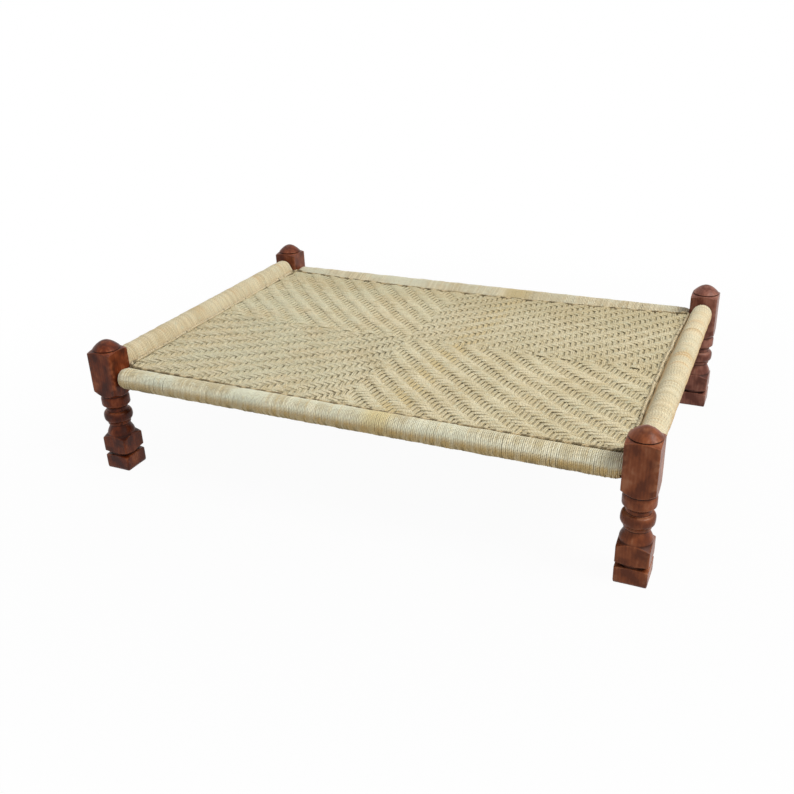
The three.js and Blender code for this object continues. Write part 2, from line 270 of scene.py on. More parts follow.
class Bench:
    """Adds nodes to one tree and joins them, so that a finish reads as a list of steps."""

    def __init__(self, tree: Tree) -> None:
        """Starts with an empty tree."""
        self.tree = tree
        tree.nodes.clear()

    def add(self, kind: str, inputs: dict[str | int, object] | None = None, **settings: object) -> Node:
        """Adds a node.

        Args:
            kind: the node's type, without its ShaderNode prefix where it has one.
            inputs: values or sockets for its inputs, by name or number.
            settings: its own options.

        Returns:
            The node.
        """
        node = self.tree.nodes.new(kind if kind.startswith("Node") else "ShaderNode" + kind)
        for name, value in settings.items():
            setattr(node, name, value)
        for name, value in (inputs or {}).items():
            if isinstance(value, bpy.types.NodeSocket):
                self.tree.links.new(value, node.inputs[name])
            elif isinstance(value, tuple) and len(value) == 3 and node.inputs[name].type == "RGBA":
                node.inputs[name].default_value = (*value, 1.0)
            else:
                node.inputs[name].default_value = value
        return node

    def math(self, operation: str, first: Socket | float, second: Socket | float = 0, clamp: bool = False) -> Socket:
        """The result of one sum on one or two numbers."""
        return self.add("Math", {0: first, 1: second}, operation=operation, use_clamp=clamp).outputs[0]

    def times(self, first: Socket | float, second: Socket | float, clamp: bool = False) -> Socket:
        """The product of two numbers."""
        return self.math("MULTIPLY", first, second, clamp)

    def plus(self, first: Socket | float, second: Socket | float, clamp: bool = False) -> Socket:
        """The sum of two numbers."""
        return self.math("ADD", first, second, clamp)

    def wave(self, kind: str, turns: Socket, scale: float) -> Socket:
        """The sine or cosine of a number of turns times a scale in radians."""
        return self.math(kind, self.times(turns, scale))

    def read(self, label: str) -> Socket:
        """A number that the piece carries at each point."""
        return self.add("Attribute", attribute_name=label).outputs["Fac"]

    def blend(self, share: Socket | float, first: Socket | Colour, second: Socket | Colour) -> Socket:
        """The mixture of two colours."""
        return self.add("Mix", {0: share, 6: first, 7: second}, data_type="RGBA", clamp_factor=True).outputs[2]

    def ramp(self, value: Socket, low: float, high: float, from_value: float = 0.0, to_value: float = 1.0) -> Socket:
        """Maps low to from_value and high to to_value in a smooth step."""
        inputs = {"Value": value, "From Min": low, "From Max": high, "To Min": from_value, "To Max": to_value}
        return self.add("MapRange", inputs, interpolation_type="SMOOTHSTEP").outputs[0]

    def noise(self, vector: Socket, scale: float, detail: float = 2.0, roughness: float = 0.5) -> Socket:
        """Noise from 0 to 1 at a place."""
        inputs = {"Vector": vector, "Scale": scale, "Detail": detail, "Roughness": roughness}
        return self.add("TexNoise", inputs).outputs["Fac"]

    def stretch(self, vector: Socket, scale: Triple, place: Triple = (0.0, 0.0, 0.0)) -> Socket:
        """A place moved and then scaled along each axis."""
        moved = self.add("VectorMath", {0: vector, 1: place}, operation="SUBTRACT").outputs[0]
        return self.add("VectorMath", {0: moved, 1: scale}, operation="MULTIPLY").outputs[0]


def new_material(name: str) -> tuple[Material, Bench]:
    """An empty material.

    Args:
        name: its name.

    Returns:
        The material and the bench to build it on.
    """
    material = bpy.data.materials.new(name)
    material.use_nodes = True
    return material, Bench(material.node_tree)


def new_group(name: str, inputs: dict[str, str], outputs: dict[str, str]) -> tuple[Bench, Inputs, Node]:
    """An empty shader group.

    Args:
        name: the group's name.
        inputs: the type of each input, by name.
        outputs: the same for its outputs.

    Returns:
        The bench to build it on, its inputs by name, and its output node.
    """
    tree = bpy.data.node_groups.new(name, "ShaderNodeTree")
    for way, sockets in (("INPUT", inputs), ("OUTPUT", outputs)):
        for label, kind in sockets.items():
            tree.interface.new_socket(label, in_out=way, socket_type="NodeSocket" + kind)
    bench = Bench(tree)
    return bench, bench.add("NodeGroupInput").outputs, bench.add("NodeGroupOutput")


def finish_group(bench: Bench, end: Node, results: dict[str, Socket]) -> Tree:
    """Joins a group's results to its output node.

    Args:
        bench: the group's bench.
        end: its output node.
        results: the sockets, by the names of the outputs.

    Returns:
        The group.
    """
    for label, socket in results.items():
        bench.tree.links.new(socket, end.inputs[label])
    return bench.tree


def grain_group() -> Tree:
    """Solid hardwood grain: rings about an upright pith, streaks along the stem and short dark pores.

    Returns:
        The group, which gives each of them from 0 to 1.
    """
    ring_width, waviness = 0.009, 0.048
    results = {"Rings": "Float", "Streaks": "Float", "Pores": "Float"}
    bench, given, end = new_group("Hardwood grain", {"Place": "Vector"}, results)
    place = given["Place"]
    bend = bench.math("SUBTRACT", bench.noise(bench.stretch(place, (1.0, 1.0, 0.22)), 7.0, 3.0), 0.5)
    x, y, _ = bench.add("SeparateXYZ", {0: place}).outputs
    reach = bench.math("SQRT", bench.plus(bench.times(x, x), bench.times(y, y)))
    bent = bench.plus(reach, bench.times(bend, waviness))
    rings = bench.wave("SINE", bench.math("DIVIDE", bent, ring_width), 2 * math.pi)
    return finish_group(bench, end, {
        "Rings": bench.plus(bench.times(rings, 0.5), 0.5),
        "Streaks": bench.noise(bench.stretch(place, (1.0, 1.0, 0.045)), 190.0, 4.0, 0.6),
        "Pores": bench.ramp(bench.noise(bench.stretch(place, (1.0, 1.0, 0.07)), 620.0), 0.60, 0.72),
    })


def twist_group() -> Tree:
    """Twisted cord: two plies that climb round it, with fibres along them.

    The surface coordinates are metres along the cord and turns round it. A ply's place is the turn plus the length
    over the pitch, and its height is a power of the size of a sine of that place.

    Returns:
        The group, which gives the height, the groove and the fibres from 0 to 1.
    """
    bench, given, end = new_group(
        "Twisted plies",
        {"Surface": "Vector", "Pitch": "Float", "Shift": "Float"},
        {"Height": "Float", "Groove": "Float", "Fibres": "Float"},
    )
    along, turn, _ = bench.add("SeparateXYZ", {0: given["Surface"]}).outputs
    climb = bench.plus(bench.math("DIVIDE", along, given["Pitch"]), bench.plus(turn, given["Shift"]))
    wave = bench.math("ABSOLUTE", bench.wave("SINE", climb, 2 * math.pi))
    lay = {0: bench.times(along, 60.0), 1: bench.times(climb, 9.0), 2: bench.times(given["Shift"], 37.0)}
    return finish_group(bench, end, {
        "Height": bench.math("POWER", wave, 0.6),
        "Groove": bench.ramp(wave, 0.0, 0.45, 1.0, 0.0),
        "Fibres": bench.noise(bench.add("CombineXYZ", lay).outputs[0], 1.0, 3.0, 0.6),
    })


def straw_group() -> Tree:
    """Grass cord colour: from pale to straw by cord and by patch, with greener, yellower and rusty stretches.

    Returns:
        The group, which gives the colour.
    """
    inputs = {"Place": "Vector"}
    inputs |= {label: "Float" for label in ("Tone", "Stain", "Sun", "Cool")}
    inputs |= {label: "Color" for label in ("Pale", "Straw", "Green", "Yellow", "Rust")}
    bench, given, end = new_group("Straw colour", inputs, {"Color": "Color"})
    light = bench.plus(bench.times(bench.noise(given["Place"], 5.5, 3.0), 0.7), bench.times(given["Tone"], 0.5))
    cool = bench.noise(bench.stretch(given["Place"], (1.0, 1.0, 1.0), (3.1, 1.7, 0.0)), 6.5, 3.0, 0.6)
    small = bench.noise(given["Place"], 62.0)
    colour = bench.blend(bench.ramp(light, 0.32, 0.88), given["Pale"], given["Straw"])
    for share, tint in (
        (bench.times(bench.ramp(cool, 0.36, 0.66), given["Cool"], True), "Green"),
        (bench.ramp(small, 0.54, 0.72, 0.0, 0.55), "Green"),
        (bench.ramp(small, 0.28, 0.45, 0.30, 0.0), "Yellow"),
        (given["Sun"], "Yellow"),
        (given["Stain"], "Rust"),
    ):
        colour = bench.blend(share, colour, given[tint])
    return finish_group(bench, end, {"Color": colour})


def dusk_group() -> Tree:
    """Shade in the small hollows of a twill, where a float ends in the slit between two pairs of cords.

    It is a cosine of the columns, least at a pair, times a high power of a cosine of the steps from the float's end.

    Returns:
        The group, which gives the shade from 0 to 1.
    """
    inputs = {"Place": "Vector", "Column": "Float", "Step": "Float", "Dusk": "Float"}
    bench, given, end = new_group("Twill shade", inputs, {"Shade": "Float"})
    slit = bench.math("SUBTRACT", 0.5, bench.times(bench.wave("COSINE", given["Column"], 2 * math.pi), 0.5))
    tip = bench.plus(bench.times(bench.wave("COSINE", given["Step"], math.pi / 3), 0.5), 0.5)
    dot = bench.times(bench.math("POWER", slit, 0.7), bench.math("POWER", tip, 9.0))
    each = bench.ramp(bench.noise(given["Place"], 75.0, 1.0), 0.34, 0.60, 0.25, 1.0)
    return finish_group(bench, end, {"Shade": bench.times(dot, bench.times(each, given["Dusk"]), True)})


@dataclass(frozen=True)
class Groups:
    """The shader groups that the finishes share."""

    grain: Tree = field(default_factory=grain_group)
    twist: Tree = field(default_factory=twist_group)
    straw: Tree = field(default_factory=straw_group)
    dusk: Tree = field(default_factory=dusk_group)


# Finishes


@dataclass(frozen=True)
class HardwoodFinish:
    """Oiled reddish-brown hardwood, with painted shade in its hollows and painted highlights along its edges.

    Args:
        name: the material's name.
        dark: colour of the dark rings and streaks.
        middle: the usual colour.
        light: colour of the pale rings.
        centre: where the stem's pith stands, in plan.
        hollow: colour of the painted shade in the hollows.
        shine: the mean roughness.
    """

    name: str
    dark: Colour
    middle: Colour
    light: Colour
    centre: tuple[float, float] = (0.0, 0.0)
    hollow: Colour = (0.026, 0.008, 0.005)
    shine: float = 0.36

    def make(self, groups: Groups) -> Material:
        """Builds the material.

        Args:
            groups: the shader groups that it is built round.

        Returns:
            The material.
        """
        material, bench = new_material(self.name)
        centre = (-self.centre[0], -self.centre[1], 0.0)
        place = bench.add("TexCoord").outputs["Object"]
        place = bench.add("Mapping", {"Vector": place, "Location": centre}).outputs[0]
        rings, streaks, pores = bench.add("Group", {"Place": place}, node_tree=groups.grain).outputs
        cloud = bench.noise(bench.stretch(place, (1.0, 1.0, 0.62)), 22.0, 3.0, 0.55)
        figure = bench.plus(bench.times(rings, 0.045), bench.times(streaks, 0.045))
        figure = bench.plus(figure, bench.times(cloud, 1.09))
        colour = bench.blend(bench.ramp(figure, 0.44, 0.68), self.dark, self.middle)
        colour = bench.blend(bench.ramp(figure, 0.62, 0.86), colour, self.light)
        colour = bench.blend(bench.times(pores, 0.30), colour, self.dark)
        # Painted shade in the hollows, made patchy by a noise
        hollow = bench.read("Hollow")
        hollow_shade = bench.noise(place, 55.0, 3.0)
        deep = bench.times(hollow, bench.plus(bench.times(hollow_shade, 0.5), 0.65), True)
        colour = bench.blend(deep, colour, self.hollow)
        # Painted highlight along ridges and corners, made patchy by the same noise
        painted_highlight = bench.times(bench.read("Edge"), bench.ramp(hollow_shade, 0.42, 0.66, 0.1, 0.6), True)
        colour = bench.blend(painted_highlight, colour, self.light)
        rough = bench.plus(bench.times(streaks, 0.22), self.shine - 0.11)
        rough = bench.plus(rough, bench.times(hollow, 0.25), True)
        height = bench.math("SUBTRACT", bench.times(streaks, 0.6), bench.times(pores, 0.9))
        bump = bench.add("Bump", {"Strength": 0.35, "Distance": 0.0004, "Height": height})
        shader = bench.add("BsdfPrincipled", {
            "Base Color": colour, "Roughness": rough, "Normal": bump.outputs[0], "Specular IOR Level": 0.18,
        })
        bench.add("OutputMaterial", {"Surface": shader.outputs[0]})
        return material


@dataclass(frozen=True)
class CordFinish:
    """Dry two-ply grass cord.

    Args:
        name: the material's name.
        pitch: length of one full turn of the twist.
        relief: how deep the groove between its plies looks.
        shade: how dark the painted shade in the groove between its plies is.
        pale, straw, green, yellow, rust: its colours.
        brown: colour of the painted shade in the groove between its plies, and of the darker fibres.
        shade_colour: colour of the painted shade on a cord where it lies under others, and on the other places that
            carry painted shade.
        shade_share: how far such a place takes that colour.
        woven: whether its cords carry the steps of a twill, whose float ends lie in shade.
    """

    name: str
    pitch: float = 0.016
    relief: float = 0.0007
    shade: float = 0.45
    pale: Colour = (0.84, 0.73, 0.50)
    straw: Colour = (0.66, 0.54, 0.33)
    green: Colour = (0.72, 0.71, 0.53)
    yellow: Colour = (0.70, 0.55, 0.26)
    rust: Colour = (0.50, 0.33, 0.125)
    brown: Colour = (0.32, 0.215, 0.11)
    shade_colour: Colour = (0.17, 0.13, 0.065)
    shade_share: float = 0.85
    woven: bool = False

    def make(self, groups: Groups) -> Material:
        """Builds the material.

        Args:
            groups: the shader groups that it is built round.

        Returns:
            The material.
        """
        material, bench = new_material(self.name)
        place = bench.add("TexCoord").outputs["Object"]
        tone = bench.read("Tone")
        lay = {"Surface": bench.add("UVMap", uv_map="Surface").outputs[0], "Pitch": self.pitch, "Shift": tone}
        high, groove, fibres = bench.add("Group", lay, node_tree=groups.twist).outputs
        colours = {"Place": place, "Tone": tone} | {label: bench.read(label) for label in ("Stain", "Sun", "Cool")}
        colours |= {label.title(): getattr(self, label) for label in ("pale", "straw", "green", "yellow", "rust")}
        colour = bench.add("Group", colours, node_tree=groups.straw).outputs[0]
        colour = bench.blend(bench.ramp(fibres, 0.52, 0.75, 0.0, 0.35), colour, self.pale)
        colour = bench.blend(bench.ramp(fibres, 0.30, 0.46, 0.45, 0.0), colour, self.brown)
        # Painted shade in the groove between the plies
        colour = bench.blend(bench.times(groove, self.shade), colour, self.brown)
        # Painted shade where the points carry it: on cords under others, under the wraps and along the border
        colour = bench.blend(bench.ramp(bench.read("PaintedShade"), 0.0, 1.0, 0.0, self.shade_share), colour, self.shade_colour)
        if self.woven:
            spots = {"Place": place} | {label: bench.read(label) for label in ("Column", "Step", "Dusk")}
            colour = bench.blend(bench.add("Group", spots, node_tree=groups.dusk).outputs[0], colour, self.shade_colour)
        height = bench.plus(high, bench.times(fibres, 0.45))
        bump = bench.add("Bump", {"Strength": 0.9, "Distance": self.relief, "Height": height})
        shader = bench.add("BsdfPrincipled", {
            "Base Color": colour, "Roughness": 0.82, "Normal": bump.outputs[0],
            "Specular IOR Level": 0.25, "Sheen Weight": 0.15,
        })
        bench.add("OutputMaterial", {"Surface": shader.outputs[0]})
        return material


# Pieces


@dataclass
class TurnedLeg:
    """One leg: square stock turned to a vase, a bead, a neck and a collar between its foot and its mortise block.

    A point of its skin is worked out from a height and a turn about the axis. Its radius is the smaller of the turned
    radius at that height and the reach of the square stock at that turn, with a small round where the two meet.

    Args:
        node: its CAD node.
        seed: the start of its random numbers.
        foot, notch, low_block, low_shoulder, vase, fillet, bead, neck, flare, collar, cove, high_shoulder, block,
            crown_shoulder, dome: height of each zone, from the floor up.
        notch_radius and the other radii: the turned radius in or at the end of a zone.
        corner, corner_cut: radius of the stock's upright edges, and how far a round edge falls short of a sharp one
            for each metre of it.
        foot_round, foot_rise: how far the rim of the foot is rounded inwards and upwards.
        hewn, chatter: how far the flat and the turned faces waver.
        soft_edge: how round the line is where a turned face meets a flat one.
        hollow_shade, ridge_highlight: how much painted shade a hollow gets and how much painted highlight a ridge
            gets, for its curvature.
        columns: points round the leg.
    """

    node: str
    seed: int
    foot: float = 0.045
    notch: float = 0.021
    low_block: float = 0.038
    low_shoulder: float = 0.022
    vase: float = 0.034
    fillet: float = 0.013
    bead: float = 0.036
    neck: float = 0.013
    flare: float = 0.014
    collar: float = 0.019
    cove: float = 0.013
    high_shoulder: float = 0.025
    block: float = 0.126
    crown_shoulder: float = 0.011
    dome: float = 0.030
    notch_radius: float = 0.041
    vase_radius: float = 0.0455
    low_neck_radius: float = 0.034
    fillet_radius: float = 0.0375
    bead_radius: float = 0.0475
    neck_radius: float = 0.035
    collar_radius: float = 0.0465
    cove_radius: float = 0.043
    crown_radius: float = 0.0415
    dome_radius: float = 0.0443
    corner: float = 0.0045
    corner_cut: float = 0.414
    foot_round: float = 0.0015
    foot_rise: float = 0.0025
    hewn: float = 0.0003
    chatter: float = 0.00025
    soft_edge: float = 0.0009
    hollow_shade: float = 0.0035
    ridge_highlight: float = 0.0025
    columns: int = 128

    def outline(self, half: float) -> tuple[Array, Array]:
        """The turned radius at each row of points.

        Args:
            half: half of the square stock's side.

        Returns:
            Heights and radii. Straight zones are lines between their ends, swells are half cosine waves, the bead is
            half an ellipse made a little fuller, and the dome's height falls with the radius to the power of 1.85.
        """
        wide = half * math.sqrt(2) + self.soft_edge * 6
        heights, radii = [np.array([0.0])], [np.array([wide])]

        def climb(*zones: tuple[float, int, float, bool]) -> None:
            """Adds zones above the last row, each with its height, rows, end radius and whether it is a wave."""
            for height, rows, end, wave in zones:
                share = np.arange(1, rows + 1) / rows
                start = radii[-1][-1]
                heights.append(heights[-1][-1] + height * share)
                radii.append(start + (end - start) * ((1 - np.cos(np.pi * share)) / 2 if wave else share))

        climb(
            (self.foot, 8, wide, False),
            (self.notch * 0.3, 8, self.notch_radius, False),
            (self.notch * 0.4, 5, self.notch_radius, False),
            (self.notch * 0.3, 8, wide, False),
            (self.low_block, 8, wide, False),
            (self.low_shoulder, 24, self.vase_radius, True),
            (self.vase, 18, self.low_neck_radius, True),
            (self.fillet * 0.28, 4, self.fillet_radius, True),
            (self.fillet * 0.5, 4, self.fillet_radius, False),
            (self.fillet * 0.22, 4, self.low_neck_radius, True),
        )
        turn = np.pi * np.arange(1, 27) / 26
        heights.append(heights[-1][-1] + self.bead * (1 - np.cos(turn)) / 2)
        radii.append(self.neck_radius + (self.bead_radius - self.neck_radius) * np.sin(turn).clip(0, 1) ** 0.75)
        climb(
            (self.neck, 6, self.neck_radius, False),
            (self.flare, 12, self.collar_radius, True),
            (self.collar, 8, self.collar_radius, False),
            (self.cove, 8, self.cove_radius, True),
            (self.high_shoulder, 26, wide, False),
            (self.block, 22, wide, False),
            (self.crown_shoulder, 16, self.crown_radius, False),
        )
        base = heights[-1][-1]
        heights.append(base + self.dome * np.array([0.03, 0.07, 0.1]))
        radii.append(np.array([self.crown_radius, self.dome_radius * 0.985, self.dome_radius]))
        share = np.cos(np.pi / 2 * np.arange(1, 25) / 24).clip(0.001, 1)
        heights.append(base + self.dome * (0.1 + 0.9 * (1 - share ** 1.85)))
        radii.append(self.dome_radius * share)
        return np.concatenate(heights), np.concatenate(radii)

    def turns(self) -> Array:
        """The turns of the columns, in four quarters, closer together near the corners of the stock.

        Returns:
            One angle for each column.
        """
        quarter = self.columns // 4
        share = 2 * (np.arange(quarter) + 0.5) / quarter - 1
        face = np.pi / 4 * np.sin(np.pi / 2 * share) * (1 - 0.12 * (1 - share ** 2))
        return np.concatenate([face + np.pi / 2 * k for k in range(4)])

    def make(self, material: Material) -> Piece:
        """Builds the leg round the place of its node.

        Args:
            material: its wood.

        Returns:
            The piece.
        """
        centre, size = middle_and_half(self.node)
        half = size[0]
        rng = np.random.default_rng(self.seed)
        z, turned = self.outline(half)
        turn = self.turns()
        power = math.log(2) / math.log(1 / (1 - self.corner * self.corner_cut / (half * math.sqrt(2))))
        square = half / (np.abs(np.cos(turn)) ** power + np.abs(np.sin(turn)) ** power) ** (1 / power)
        foot_round = (np.clip(1 - z / self.foot_rise, 0, 1) ** 2 * self.foot_round)[:, None]
        hewn = wander(z[:, None] + turn * 0.02, rng, 0.18) * self.hewn
        stock = square - foot_round + hewn
        lathe = turned[:, None] + wander(z[:, None] * 3 + np.sin(turn) * 0.05, rng, 0.2) * self.chatter
        gap = np.clip(0.5 + 0.5 * (stock - lathe) / (2 * self.soft_edge), 0, 1)
        radius = np.minimum(stock * (1 - gap) + lathe * gap - 2 * self.soft_edge * gap * (1 - gap), stock)
        height = np.broadcast_to(z[:, None], radius.shape)
        points = np.stack([centre[0] + radius * np.cos(turn), centre[1] + radius * np.sin(turn), height], axis=-1)
        around = np.arange(self.columns)
        caps = np.stack([around[::-1], (len(z) - 1) * self.columns + around])
        # Painted shade in concave hollows, and painted highlights on convex ridges and on the stock's corners, from
        # the curvature
        bend = np.gradient(np.gradient(radius, z, axis=0), z, axis=0)
        corner = np.clip((square - half) / (half * 0.30), 0, 1) ** 3
        edge = np.maximum(np.clip(-bend * self.ridge_highlight, 0, 1), np.where(gap < 0.5, corner, 0.0))
        looks = {"Hollow": np.clip(bend * self.hollow_shade, 0, 1), "Edge": edge}
        shape = Shape(points.reshape(-1, 3), [ring_quads(len(z), self.columns), caps], None, looks)
        return shape.make(self.node + "_wood", self.node, "leg_wood", material)


@dataclass
class Edge:
    """The rectangle with rounded corners that the border follows on the web, drawn in a little along each side.

    Args:
        in_long, in_cross: how far the border lies inside the axes of the long rails and of the short ones.
        over_long, under_short: how far the web's top lies over the one and under the other.
        bend: radius of the corners.
        draw: how far the middle of each side is drawn in: front, back, left, right.
        waver: how far each side wavers.
    """

    in_long: float = 0.038
    in_cross: float = 0.045
    over_long: float = 0.015
    under_short: float = 0.009
    bend: float = 0.025
    draw: tuple[float, float, float, float] = (0.002, 0.026, 0.008, 0.010)
    waver: tuple[float, float, float, float] = (0.0015, 0.0045, 0.003, 0.003)

    def __post_init__(self) -> None:
        """Reads the places of the rails, on which the web hangs."""
        middle, _ = middle_and_half("wrap_front")
        self.half_y, self.long_z = -middle[1], middle[2]
        middle, _ = middle_and_half("wrap_right")
        self.half_x, self.short_z = middle[0], middle[2]
        self.reach = (self.half_x - self.in_cross, self.half_y - self.in_long)

    def top(self, x: Array, y: Array) -> Array:
        """Height of the web: the mean of its edges, plus a part that grows with the square of the distance along the
        bed, less one that grows with the square of the distance across it.

        Args:
            x: places along the bed.
            y: places across it.

        Returns:
            The heights.
        """
        at_long, at_short = self.long_z + self.over_long, self.short_z - self.under_short
        middle = (at_long + at_short) / 2
        rise = (at_short - middle) * (x / self.half_x) ** 2
        return middle + rise + (at_long - middle) * (y / self.half_y) ** 2

    def inward(self, side: Side, on: Array) -> Array:
        """How far one side is drawn in: a parabola that is 0 at the corners, plus a waver that fades there.

        Args:
            side: the side.
            on: places along it.

        Returns:
            An array of the form of on.
        """
        share = np.clip(1 - (on / self.reach[side.way.value]) ** 2, 0, 1)
        waver = wander(on, np.random.default_rng(70 + side), 0.16, 8)
        return self.draw[side] * share + self.waver[side] * waver * np.sqrt(share)

    def far(self, side: Side, on: Array) -> Array:
        """Distance of the border from the bed's middle line on one side, with the round of the corners.

        Args:
            side: the side.
            on: places along it.

        Returns:
            An array of the form of on.
        """
        way = side.way.value
        past = np.clip(np.abs(on) - (self.reach[way] - self.bend), 0, self.bend)
        corner = self.bend - np.sqrt(self.bend ** 2 - past ** 2)
        return self.reach[1 - way] - corner - self.inward(side, on)

    def route(self, step: float) -> tuple[Array, Array]:
        """The whole border as one closed line.

        Args:
            step: distance between its points.

        Returns:
            Points in plan, and the length so far.
        """
        reach = np.array(self.reach)
        runs = []
        for quarter, sign in enumerate(((1, 1), (-1, 1), (-1, -1), (1, -1))):
            turn = np.pi / 2 * (quarter + np.linspace(0, 1, 25))
            runs.append(np.array(sign) * (reach - self.bend) + self.bend * np.stack([np.cos(turn), np.sin(turn)], 1))
        corners = np.concatenate([*runs, runs[0][:1]])
        length = np.concatenate([[0.0], np.cumsum(np.linalg.norm(np.diff(corners, axis=0), axis=1))])
        on = np.linspace(0, length[-1], int(length[-1] / step))
        plan = np.stack([np.interp(on, length, corners[:, k]) for k in (0, 1)], axis=1)
        near = np.clip((np.abs(plan) - (reach - self.bend)) / self.bend, 0, 1)
        for side in Side:
            run, off = side.way.value, side.way.other.value
            share = near[:, off] * (side.sign * plan[:, off] > 0)
            plan[:, off] = plan[:, off] - side.sign * share * self.inward(side, plan[:, run])
        return plan, on


@dataclass
class RailWrap:
    """The cord wound round one rail and the web's edge: one long helix, whose turns lie side by side.

    Across the rail a turn follows a circle and a point next to the border, as a band drawn tight round both does.
    Its distance from the rail's axis is the circle's radius R, and near the direction of the point it is R over the
    cosine of (b less the angle to that direction), where the cosine of b is R over the point's distance.

    Args:
        node: the wrap's node.
        side: the side of the bed that it lies on.
        stain: how brown its underside is at each end of the rail.
        cool: how green it is at each end of the rail.
        tone: how dark it is, on the mean.
        sun: middle and half width of a yellower stretch, along the rail.
        painted_outer_light: painted light, how much paler its outer side is than its top.
        rim: sine of the angle at which the brown begins.
        sharp: how fast the brown grows below that angle.
        underside_shade: how dark the painted shade on single turns is underneath.
        marks: place, half width and strength of each rusty band, along the rail.
        cord: thickness of the cord.
        pack: distance from one turn to the next.
        end_radius, end_round: outer radius at the ends, and the length over which the wrap narrows to it.
        beyond: how far the turns reach past the border, on a long side and on a short one.
        tuck: how far below the web's top they reach it.
        uneven, swell: how far single turns and whole stretches lie higher or lower.
        press: how far all of them are pressed in.
        sway, slant: how far single turns and whole stretches lie askew along the rail.
        calm: length at each end where none of that shows.
        steps, sides: points of a turn and corners of the cord.
    """

    node: str
    side: Side
    stain: tuple[float, float]
    cool: tuple[float, float]
    tone: float
    sun: tuple[float, float] = (0.0, 0.0)
    painted_outer_light: float = 0.0
    rim: float = 0.05
    sharp: float = 1.7
    underside_shade: float = 0.0
    marks: tuple[tuple[float, float, float], ...] = ()
    cord: float = 0.0052
    pack: float = 0.0053
    end_radius: float = 0.024
    end_round: float = 0.028
    beyond: tuple[float, float] = (0.001, 0.005)
    tuck: tuple[float, float] = (0.0045, 0.0065)
    uneven: float = 0.0003
    swell: float = 0.0008
    press: float = 0.0009
    sway: float = 0.0004
    slant: float = 0.004
    calm: float = 0.03
    steps: int = 24
    sides: int = 6

    def meridian(self, half: float, radius: float) -> tuple[Array, Array, Array]:
        """The line that the middle of the cord follows along the rail, seen from the side.

        Args:
            half: half of the wrap's length.
            radius: its outer radius.

        Returns:
            Its length so far, the place along the rail and the distance from the axis. Near each end the distance
            falls along a quarter ellipse, from the full radius to that of the end.
        """
        end = half - self.cord / 2
        place = np.linspace(-end, end, 6001)
        share = np.clip((np.abs(place) - half + self.end_round) / self.end_round, 0, 1)
        reach = self.end_radius + (radius - self.end_radius) * np.sqrt(1 - share ** 2) - self.cord / 2
        length = np.concatenate([[0.0], np.cumsum(np.hypot(np.diff(place), np.diff(reach)))])
        return length, place, reach

    def band(self, turn: Array, away: Array, across: Array, rise: Array) -> tuple[Array, Array, Array]:
        """The course of the turns across the rail.

        Args:
            turn: number of turns so far.
            away: radius of the circle that they follow.
            across: how far inwards from the rail's axis the point next to the border lies.
            rise: how far above it.

        Returns:
            The angle about the axis, that of the point, and the distance from the axis.
        """
        toward = np.arctan2(rise, -self.side.sign * across)
        angle = toward + 2 * np.pi * (turn - np.floor(turn + 0.5)) + np.pi
        open_angle = np.arccos(np.clip(away / np.maximum(np.hypot(across, rise), away), 0, 1))
        lean = np.abs((angle - toward + np.pi) % (2 * np.pi) - np.pi)
        return angle, toward, away / np.cos(np.clip(open_angle - lean, 0, None))

    def looks(self, on: Array, high: Array, half: float, whole: Array, each: Array,
              rng: Random) -> dict[str, Array | float]:
        """What the finish reads along the cord.

        Args:
            on: places along the rail.
            high: sine of the turn about the rail, 1 on top and -1 below.
            half: half of the wrap's length.
            whole: number of the turn.
            each: a random number from -1 to 1 for each turn.
            rng: the source of the random numbers.

        Returns:
            Numbers for each point, by name.
        """
        tone = self.tone + wander(on, rng, 0.05) * 0.3 + each * 0.42
        # Painted light: the outer side is painted paler than the top
        tone = tone - self.painted_outer_light * np.clip((0.98 - high) * 1.6, 0, 1)
        middle, width = self.sun
        share = np.clip((on / half + 1) / 2, 0, 1)
        brown = self.stain[0] + (self.stain[1] - self.stain[0]) * share
        under = np.clip((self.rim - high) * self.sharp, 0, 1)
        stain = under * brown * (0.95 + 0.25 * each + 0.2 * wander(on, rng, 0.03))
        rare = ((rng.uniform(0, 1, whole[-1] + 2) > 0.955) * rng.uniform(0.05, 0.3))[whole]
        for spot, reach, strength in self.marks:
            rare = rare + np.exp(-((on - spot) / reach) ** 2) * strength * (0.7 + 0.6 * each)
        rare = rare * np.clip((high - 0.2) * 1.6, 0.15, 1)
        return {
            "Tone": tone,
            "Sun": np.exp(-(((on - middle) / width) ** 4)) * 0.8 if width else 0.0,
            "Cool": self.cool[0] + (self.cool[1] - self.cool[0]) * share,
            "Stain": np.clip(stain + rare, 0, 1),
            # Painted shade on the underside, stronger on some turns than on others
            "PaintedShade": self.underside_shade * np.clip(0.1 - high, 0, 1) * np.clip(0.35 + 0.9 * each, 0, 1),
        }

